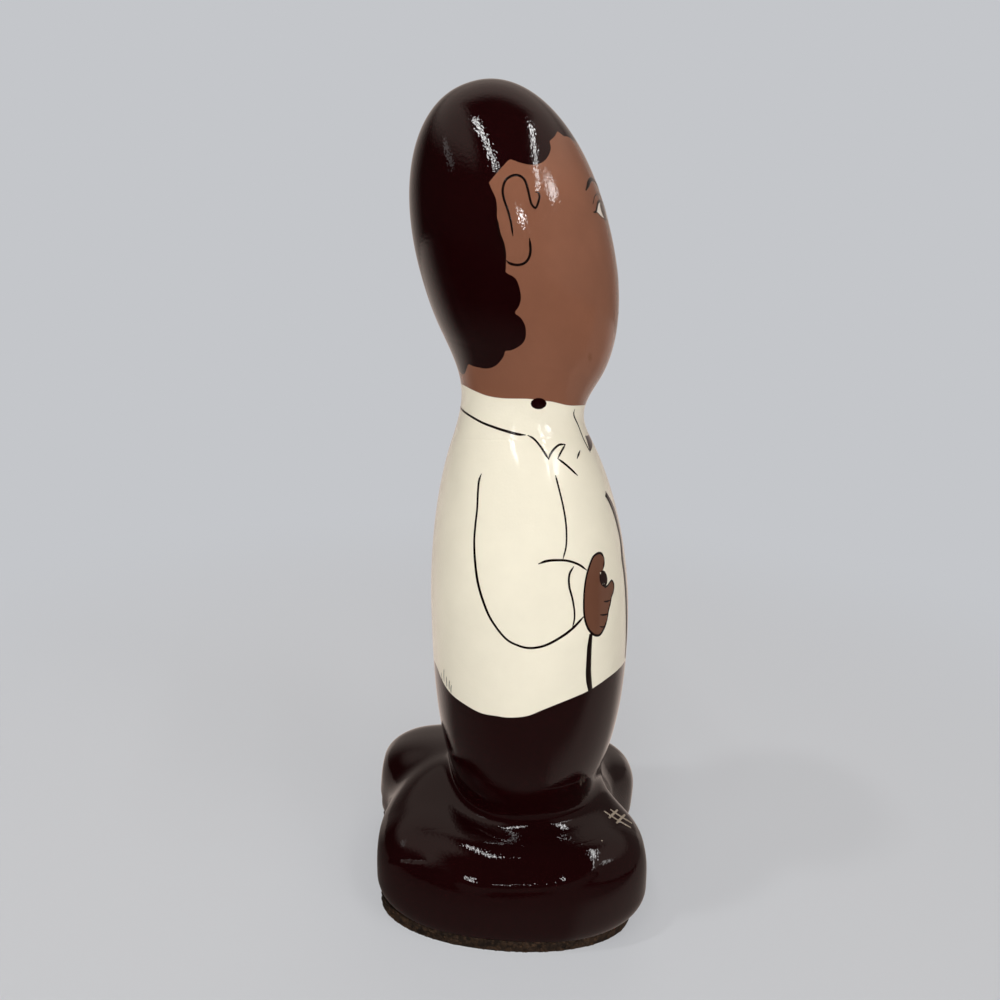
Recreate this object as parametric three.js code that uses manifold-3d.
// Painted rock figurine: an oval head stone stands on a taller body stone, which stands on two
// shoe stones. Epoxy putty beds and fillets the joints, and a cork pad is glued under the shoes.
// Millimetres and degrees. +Z is up, the figure faces -Y, and its right side is at -X.
// The origin is at the centre of the cork pad's underside.
import * as THREE from 'three';
import { mergeVertices } from 'three/addons/utils/BufferGeometryUtils.js';
import Module from 'manifold-3d';

const wasm = await Module();
wasm.setup();

// Gap left for glue between pieces that are stuck together
const glueLine = 0.3;

// Cork pad, cut round both shoes together and drawn in most under the toes
const padThickness = 3.2;
const padSquareness = 2.1;
const padSideInset = 0.4;
const padHeelInset = 1;
const padToeInset = 3.7;

// Shoe stones: blunt river pebbles, ground flat underneath, heels together and toes apart.
// The belly is the widest level, measured up from the ground face. Below it the ends round up, by the
// rocker as a share of the length.
const shoeWidth = 34.2;
const shoeBelly = 6.5;
const shoeDrop = 12;
const shoePlanSquareness = 2.4;
const shoeRiseSquareness = 4.2;
const shoeDropSquareness = 4;
const shoeRocker = 0.24;
const shoeSplay = 3;
const rightShoeLength = 73.2;
const rightShoeRise = 17.3;
const rightShoeForward = 0.3;
const rightShoeHeelLift = -1.3;
const rightShoeCrestInward = 3.8;
const leftShoeLength = 80.6;
const leftShoeRise = 17.9;
const leftShoeForward = -0.8;
const leftShoeHeelLift = 3.4;
const leftShoeCrestInward = -1;
const cleftBed = 1.4;

// Body stone: one tall egg, widest a little below the middle, ground flat at the foot and the neck
const bodyWidth = 62.8;
const bodyDepth = 53.6;
const bodyRise = 64.5;
const bodyDrop = 63.3;
const bodyRiseSquareness = 1.95;
const bodyDropSquareness = 2.47;
const bodyPlanSquareness = 2.2;
const bodyForward = 2.9;
const bodyLean = 2.8;
const bodyBow = 3.1;
const bodyFootGrind = 11.64;
const bodyNeckGrind = 7.5;

// Head stone: an oval pebble that leans back, ground flat where it meets the body
const headWidth = 50;
const headDepth = 47.6;
const headLength = 80.2;
const headSquareness = 2.15;
const headLean = 17.8;
const headBack = 4.3;
const headGrind = 5.1;

// Putty: its bed between the ground faces, and how far the fillet reaches up and out. The neck's
// fillet is fuller at the nape, and the ankles' at the front.
const neckBed = 2.4;
const neckSlope = 9;
const neckFrontBlend = 7;
const neckBackBlend = 15;
const neckFillDown = 15;
const neckFillUp = 14;
const ankleBed = 0.4;
const ankleFrontBlend = 12;
const ankleBackBlend = 4;
const ankleFillUp = 12;
const ankleFlare = 7;
const cleftBlend = 26;

// Mesh fineness
const stoneSegments = 44;
const tallStoneRings = 26;
const shoeRings = 18;
const puttySegments = 40;
const puttyRings = 12;
const padSegments = 40;

// Working values for the solids: a block larger than the figure, and a ray's step and halvings
const blockSize = 400;
const rayStep = 0.8;
const rayHalvings = 12;
const slopeStep = 0.01;

// Each stone's shape: two superellipse halves about the belly, on a leaning and bowed centre line.
// A shoe's crest also stands aside from its belly.
function shoeShape(length, rise, crestAside) {
  return {
    halfWidth: shoeWidth / 2,
    halfDepth: length / 2,
    rise,
    drop: shoeDrop,
    riseSquareness: shoeRiseSquareness,
    dropSquareness: shoeDropSquareness,
    planSquareness: shoePlanSquareness,
    lean: 0,
    bow: 0,
    crestAside,
    rocker: shoeRocker,
  };
}

const bodyShape = {
  halfWidth: bodyWidth / 2,
  halfDepth: bodyDepth / 2,
  rise: bodyRise,
  drop: bodyDrop,
  riseSquareness: bodyRiseSquareness,
  dropSquareness: bodyDropSquareness,
  planSquareness: bodyPlanSquareness,
  lean: bodyLean,
  bow: bodyBow,
  crestAside: 0,
  rocker: 0,
};
const headShape = {
  halfWidth: headWidth / 2,
  halfDepth: headDepth / 2,
  rise: headLength / 2,
  drop: headLength / 2,
  riseSquareness: headSquareness,
  dropSquareness: headSquareness,
  planSquareness: headSquareness,
  lean: 0,
  bow: 0,
  crestAside: 0,
  rocker: 0,
};

// A stone grown on every side, to cut its seat in the putty with room for glue
function grown(shape, extra) {
  return {
    ...shape,
    halfWidth: shape.halfWidth + extra,
    halfDepth: shape.halfDepth + extra,
    rise: shape.rise + extra,
    drop: shape.drop + extra,
  };
}

// How far the centre line stands back at a height above the belly
function centreLineBack(shape, height) {
  const share = height / shape.rise;
  return shape.lean * share + shape.bow * share * share;
}

// How far the centre line stands aside, above the belly only
function centreLineAside(shape, height) {
  const share = Math.max(height, 0) / shape.rise;
  return shape.crestAside * share * share;
}

// Half the depth at a height above the belly, before the round of the sides is taken off
function halfDepthAt(shape, height) {
  const below = Math.max(-height, 0) / shape.drop;
  return shape.halfDepth * (1 - shape.rocker * below * below);
}

// A power that keeps the sign of its base
function signedPower(base, exponent) {
  return Math.sign(base) * Math.abs(base) ** exponent;
}

// The furthest a superellipse reaches in a direction at an angle to its width axis
function superellipseReach(halfWidth, halfDepth, squareness, angle) {
  const dual = squareness / (squareness - 1);
  const across = Math.abs(halfWidth * Math.cos(angle)) ** dual;
  const along = Math.abs(halfDepth * Math.sin(angle)) ** dual;
  return (across + along) ** (1 / dual);
}

// A closed geometry through a stack of rings, each a list of points that runs anticlockwise
function closedLoft(rings) {
  const count = rings[0].length;
  const positions = rings.flat().flatMap((point) => point.toArray());
  const index = [];
  for (let level = 0; level < rings.length - 1; level += 1) {
    for (let i = 0; i < count; i += 1) {
      const next = (i + 1) % count;
      const low = level * count;
      const high = low + count;
      index.push(low + i, low + next, high + next);
      index.push(low + i, high + next, high + i);
    }
  }
  const ends = [rings[0], rings[rings.length - 1]];
  const centres = ends.map((ring) => ring.reduce((sum, point) => sum.add(point), new THREE.Vector3()));
  centres.forEach((centre) => positions.push(...centre.divideScalar(count).toArray()));
  const lowCentre = rings.length * count;
  const lastRing = (rings.length - 1) * count;
  for (let i = 0; i < count; i += 1) {
    const next = (i + 1) % count;
    index.push(lowCentre, next, i);
    index.push(lowCentre + 1, lastRing + i, lastRing + next);
  }
  const geometry = new THREE.BufferGeometry();
  geometry.setAttribute('position', new THREE.Float32BufferAttribute(positions, 3));
  geometry.setIndex(index);
  return geometry;
}

// A whole pebble about its own centre
function pebbleGeometry(shape, ringCount) {
  const rings = [];
  for (let level = 1; level < ringCount; level += 1) {
    const climb = Math.PI * (level / ringCount - 0.5);
    const above = climb > 0;
    const power = 2 / (above ? shape.riseSquareness : shape.dropSquareness);
    const height = (above ? shape.rise : shape.drop) * signedPower(Math.sin(climb), power);
    const scale = Math.cos(climb) ** power;
    const back = centreLineBack(shape, height);
    const aside = centreLineAside(shape, height);
    const halfDepth = halfDepthAt(shape, height);
    const planPower = 2 / shape.planSquareness;
    const ring = [];
    for (let i = 0; i < stoneSegments; i += 1) {
      const turn = 2 * Math.PI * i / stoneSegments;
      const x = aside + shape.halfWidth * scale * signedPower(Math.cos(turn), planPower);
      const y = back + halfDepth * scale * signedPower(Math.sin(turn), planPower);
      ring.push(new THREE.Vector3(x, y, height));
    }
    rings.push(ring);
  }
  return closedLoft(rings);
}

// Zero on a pebble's surface, negative inside and positive outside, in parts of its own size
function pebbleLevel(shape, point) {
  const above = point.z > 0;
  const squareness = above ? shape.riseSquareness : shape.dropSquareness;
  const sideways = point.x - centreLineAside(shape, point.z);
  const across = Math.abs(sideways / shape.halfWidth) ** shape.planSquareness;
  const backwards = point.y - centreLineBack(shape, point.z);
  const along = Math.abs(backwards / halfDepthAt(shape, point.z)) ** shape.planSquareness;
  const upwards = Math.abs(point.z / (above ? shape.rise : shape.drop)) ** squareness;
  return ((across + along) ** (squareness / shape.planSquareness) + upwards) ** (1 / squareness) - 1;
}

// Distance in millimetres to a placed stone's surface, close to it; negative inside
function distanceTo(stone, point) {
  const local = point.clone().applyMatrix4(stone.toLocal);
  const level = pebbleLevel(stone.shape, local);
  const slope = new THREE.Vector3();
  for (const axis of ['x', 'y', 'z']) {
    const stepped = local.clone();
    stepped[axis] += slopeStep;
    slope[axis] = (pebbleLevel(stone.shape, stepped) - level) / slopeStep;
  }
  return level / slope.length();
}

// Distance to two surfaces run together by a fillet as wide as the blend
function filletedDistance(first, second, blend) {
  const near = Math.max(blend - Math.abs(first - second), 0) / blend;
  return Math.min(first, second) - near * near * blend / 4;
}

// A stone's shape with its place in the figure
function place(shape, ringCount, position, tilt, turn) {
  const toFigure = new THREE.Matrix4().makeRotationFromEuler(new THREE.Euler(tilt, 0, turn, 'ZYX'));
  toFigure.setPosition(position);
  return { shape, ringCount, toFigure, toLocal: toFigure.clone().invert(), position };
}

// A geometry as a solid that can be joined and cut
function toSolid(geometry) {
  const bare = new THREE.BufferGeometry();
  bare.setAttribute('position', geometry.getAttribute('position').clone());
  bare.setIndex(geometry.index);
  const merged = mergeVertices(bare);
  return new wasm.Manifold(new wasm.Mesh({
    numProp: 3,
    vertProperties: new Float32Array(merged.attributes.position.array),
    triVerts: new Uint32Array(merged.index.array),
  }));
}

// A placed stone as a solid, grown on every side by an amount
function stoneSolid(stone, extra = 0) {
  const geometry = pebbleGeometry(grown(stone.shape, extra), stone.ringCount);
  return toSolid(geometry.applyMatrix4(stone.toFigure));
}

// Everything above a plane that rises towards the back by a slope in degrees
function blockAbove(height, back = 0, slope = 0) {
  const block = new THREE.BoxGeometry(blockSize, blockSize, blockSize);
  block.translate(0, 0, blockSize / 2);
  block.rotateX(THREE.MathUtils.degToRad(slope));
  block.translate(0, back, height);
  return toSolid(block);
}

// The furthest a splayed shoe reaches from its centre, sideways and along the figure
function shoeSideReach(length) {
  const splay = THREE.MathUtils.degToRad(shoeSplay);
  return superellipseReach(shoeWidth / 2, length / 2, shoePlanSquareness, splay);
}

function shoeEndReach(length) {
  const splay = THREE.MathUtils.degToRad(90 - shoeSplay);
  return superellipseReach(shoeWidth / 2, length / 2, shoePlanSquareness, splay);
}

// How much further aside a shoe reaches above its belly than at it, where its crest leans over
function crestOverhang(shape) {
  const overhangs = [0];
  for (let level = 1; level < shoeRings; level += 1) {
    const share = level / shoeRings;
    const scale = (1 - share ** shape.riseSquareness) ** (1 / shape.riseSquareness);
    const aside = Math.abs(centreLineAside(shape, share * shape.rise));
    overhangs.push(aside - shape.halfWidth * (1 - scale));
  }
  return Math.max(...overhangs);
}

// The left shoe has side 1 and the right shoe side -1; the cleft between them is on the centre line.
// The pad and a line of glue lie under the shoes.
function placeShoe(side, length, rise, forward, heelLift, crestInward) {
  const shape = shoeShape(length, rise, -side * crestInward);
  const sideways = shoeSideReach(length) + crestOverhang(shape) + cleftBed / 2;
  return place(
    shape,
    shoeRings,
    new THREE.Vector3(side * sideways, -forward, padThickness + glueLine + shoeBelly),
    THREE.MathUtils.degToRad(heelLift),
    THREE.MathUtils.degToRad(side * shoeSplay),
  );
}

// How high a placed stone reaches
function crestHeight(stone) {
  const placed = pebbleGeometry(stone.shape, stone.ringCount).applyMatrix4(stone.toFigure);
  placed.computeBoundingBox();
  return placed.boundingBox.max.z;
}

const shoes = {
  right: placeShoe(
    -1,
    rightShoeLength,
    rightShoeRise,
    rightShoeForward,
    rightShoeHeelLift,
    rightShoeCrestInward,
  ),
  left: placeShoe(1, leftShoeLength, leftShoeRise, leftShoeForward, leftShoeHeelLift, leftShoeCrestInward),
};

// The body stands just above the higher shoe, and the head on the neck's bed
const bodyFootHeight = Math.max(crestHeight(shoes.right), crestHeight(shoes.left)) + ankleBed;
const bodyCentreHeight = bodyFootHeight + bodyDrop - bodyFootGrind;
const neckHeight = bodyCentreHeight + bodyRise - bodyNeckGrind + neckBed / 2;
const neckBack = centreLineBack(bodyShape, bodyRise - bodyNeckGrind) - bodyForward;
const leanAngle = THREE.MathUtils.degToRad(headLean);
const headReach = Math.hypot(headLength / 2 * Math.cos(leanAngle), headDepth / 2 * Math.sin(leanAngle));
const headCentreHeight = neckHeight + headReach - headGrind;
const body = place(bodyShape, tallStoneRings, new THREE.Vector3(0, -bodyForward, bodyCentreHeight), 0, 0);
const head = place(headShape, tallStoneRings, new THREE.Vector3(0, headBack, headCentreHeight), -leanAngle, 0);

// Each stone with its ground faces; extra grows it on every side, ground faces too
function groundShoe(shoe, extra = 0) {
  return stoneSolid(shoe, extra).intersect(blockAbove(padThickness + glueLine - extra));
}

function groundBody(extra = 0) {
  const aboveFoot = blockAbove(bodyFootHeight - extra);
  const aboveNeck = blockAbove(neckHeight - neckBed / 2 + extra, neckBack, neckSlope);
  return stoneSolid(body, extra).intersect(aboveFoot).subtract(aboveNeck);
}

function groundHead(extra = 0) {
  return stoneSolid(head, extra).intersect(blockAbove(neckHeight + neckBed / 2 - extra, neckBack, neckSlope));
}

// How far a level ray from the figure's centre line runs before it leaves the filleted surface
function rayReach(distanceAt, centre, direction, limit) {
  const at = (reach) => distanceAt(centre.clone().addScaledVector(direction, reach));
  let inner = 0;
  while (inner + rayStep < limit && at(inner + rayStep) < 0) inner += rayStep;
  let outer = Math.min(inner + rayStep, limit);
  for (let i = 0; i < rayHalvings; i += 1) {
    const middle = (inner + outer) / 2;
    if (at(middle) < 0) {
      inner = middle;
    } else {
      outer = middle;
    }
  }
  return inner;
}

// The outside of a putty fill: rings from one height to another, each no wider than its limit
function fillSolid(distanceAt, back, low, high, limitAt) {
  const rings = [];
  for (let level = 0; level <= puttyRings; level += 1) {
    const centre = new THREE.Vector3(0, back, low + (high - low) * level / puttyRings);
    const ring = [];
    for (let i = 0; i < puttySegments; i += 1) {
      const turn = 2 * Math.PI * i / puttySegments;
      const direction = new THREE.Vector3(Math.cos(turn), Math.sin(turn), 0);
      const reach = rayReach(distanceAt, centre, direction, limitAt(turn));
      ring.push(centre.clone().addScaledVector(direction, reach));
    }
    rings.push(ring);
  }
  return toSolid(closedLoft(rings));
}

// A fillet's width at a point, which changes evenly from the body's front to its back
function blendAt(point, front, back) {
  const share = (point.y + bodyForward) / bodyDepth + 1 / 2;
  return THREE.MathUtils.lerp(front, back, THREE.MathUtils.clamp(share, 0, 1));
}

function neckPutty() {
  const distanceAt = (point) => {
    const blend = blendAt(point, neckFrontBlend, neckBackBlend);
    return filletedDistance(distanceTo(head, point), distanceTo(body, point), blend);
  };
  const low = neckHeight - neckFillDown;
  const high = neckHeight + neckFillUp;
  const fill = fillSolid(distanceAt, neckBack, low, high, () => bodyWidth / 2);
  return fill.subtract(groundHead(glueLine)).subtract(groundBody(glueLine));
}

// The putty under the body also fills the cleft between the shoes
function anklePutty() {
  const fillBack = centreLineBack(bodyShape, bodyFootHeight - bodyCentreHeight) - bodyForward;
  const heelReach = Math.min(
    shoeEndReach(rightShoeLength) - rightShoeForward,
    shoeEndReach(leftShoeLength) - leftShoeForward,
  ) - fillBack;
  const toeReach = Math.min(
    shoeEndReach(rightShoeLength) + rightShoeForward,
    shoeEndReach(leftShoeLength) + leftShoeForward,
  ) + fillBack;
  const distanceAt = (point) => {
    const toShoes = filletedDistance(distanceTo(shoes.right, point), distanceTo(shoes.left, point), cleftBlend);
    const blend = blendAt(point, ankleFrontBlend, ankleBackBlend);
    return filletedDistance(toShoes, distanceTo(body, point), blend);
  };
  const low = padThickness + glueLine;
  const high = bodyFootHeight + ankleFillUp;
  const topShare = ((bodyCentreHeight - high) / bodyDrop) ** bodyDropSquareness;
  const topScale = (1 - topShare) ** (1 / bodyDropSquareness);
  const sideReach = bodyWidth / 2 * topScale + ankleFlare;
  const limitAt = (turn) => Math.hypot(
    sideReach * Math.cos(turn),
    (Math.sin(turn) > 0 ? heelReach : toeReach) * Math.sin(turn),
  );
  const fill = fillSolid(distanceAt, fillBack, low, high, limitAt);
  const seated = fill.subtract(groundShoe(shoes.right, glueLine)).subtract(groundShoe(shoes.left, glueLine));
  return seated.subtract(groundBody(glueLine));
}

// A shoe's plan outline in the figure, drawn in by the pad's insets
function drawnInPlan(shoe) {
  const plan = [];
  const halfWidth = shoe.shape.halfWidth - padSideInset;
  const halfLength = shoe.shape.halfDepth - (padHeelInset + padToeInset) / 2;
  const back = (padToeInset - padHeelInset) / 2;
  for (let i = 0; i < padSegments; i += 1) {
    const turn = 2 * Math.PI * i / padSegments;
    const x = halfWidth * signedPower(Math.cos(turn), 2 / padSquareness);
    const y = back + halfLength * signedPower(Math.sin(turn), 2 / padSquareness);
    const point = new THREE.Vector3(x, y, 0).applyMatrix4(shoe.toFigure);
    plan.push(new THREE.Vector2(point.x, point.y));
  }
  return plan;
}

// The outline of a band stretched round points, anticlockwise
function bandRound(points) {
  const sorted = [...points].sort((a, b) => a.x - b.x || a.y - b.y);
  const halfBand = (ordered) => {
    const band = [];
    for (const point of ordered) {
      while (band.length > 1) {
        const last = band[band.length - 1];
        const before = band[band.length - 2];
        if (last.clone().sub(before).cross(point.clone().sub(before)) > 0) break;
        band.pop();
      }
      band.push(point);
    }
    return band.slice(0, -1);
  };
  return [...halfBand(sorted), ...halfBand(sorted.reverse())];
}

// The cork pad goes round both shoes together, with no cleft
function padGeometry() {
  const outline = bandRound([...drawnInPlan(shoes.right), ...drawnInPlan(shoes.left)]);
  return new THREE.ExtrudeGeometry(new THREE.Shape(outline), { depth: padThickness, bevelEnabled: false });
}

// A solid as a geometry about the place where its mesh is put
function toGeometry(solid, position) {
  const mesh = solid.getMesh();
  const geometry = new THREE.BufferGeometry();
  geometry.setAttribute('position', new THREE.Float32BufferAttribute(mesh.vertProperties, 3));
  geometry.setIndex(Array.from(mesh.triVerts));
  geometry.translate(-position.x, -position.y, -position.z);
  geometry.computeVertexNormals();
  return geometry;
}

const group = new THREE.Group();

function addMesh(name, geometry, position, finish) {
  const mesh = new THREE.Mesh(geometry, new THREE.MeshStandardMaterial({ metalness: 0, ...finish }));
  mesh.name = name;
  mesh.position.copy(position);
  group.add(mesh);
}

function addSolid(name, solid, position, finish) {
  addMesh(name, toGeometry(solid, position), position, finish);
}

const skinPaint = { color: 0x7d533f, roughness: 0.12 };
const creamPaint = { color: 0xf4e9d6, roughness: 0.12 };
const darkPaint = { color: 0x1f1212, roughness: 0.1 };
const corkSheet = { color: 0x5d4737, roughness: 0.85 };

addSolid('head_stone', groundHead(), head.position, skinPaint);
addSolid('neck_putty', neckPutty(), new THREE.Vector3(0, neckBack, neckHeight), creamPaint);
addSolid('body_stone', groundBody(), body.position, creamPaint);
addSolid('ankle_putty', anklePutty(), new THREE.Vector3(0, -bodyForward, bodyFootHeight), darkPaint);
addSolid('right_shoe_stone', groundShoe(shoes.right), shoes.right.position, darkPaint);
addSolid('left_shoe_stone', groundShoe(shoes.left), shoes.left.position, darkPaint);
addMesh('sole_pad', padGeometry(), new THREE.Vector3(0, 0, 0), corkSheet);

export default group;
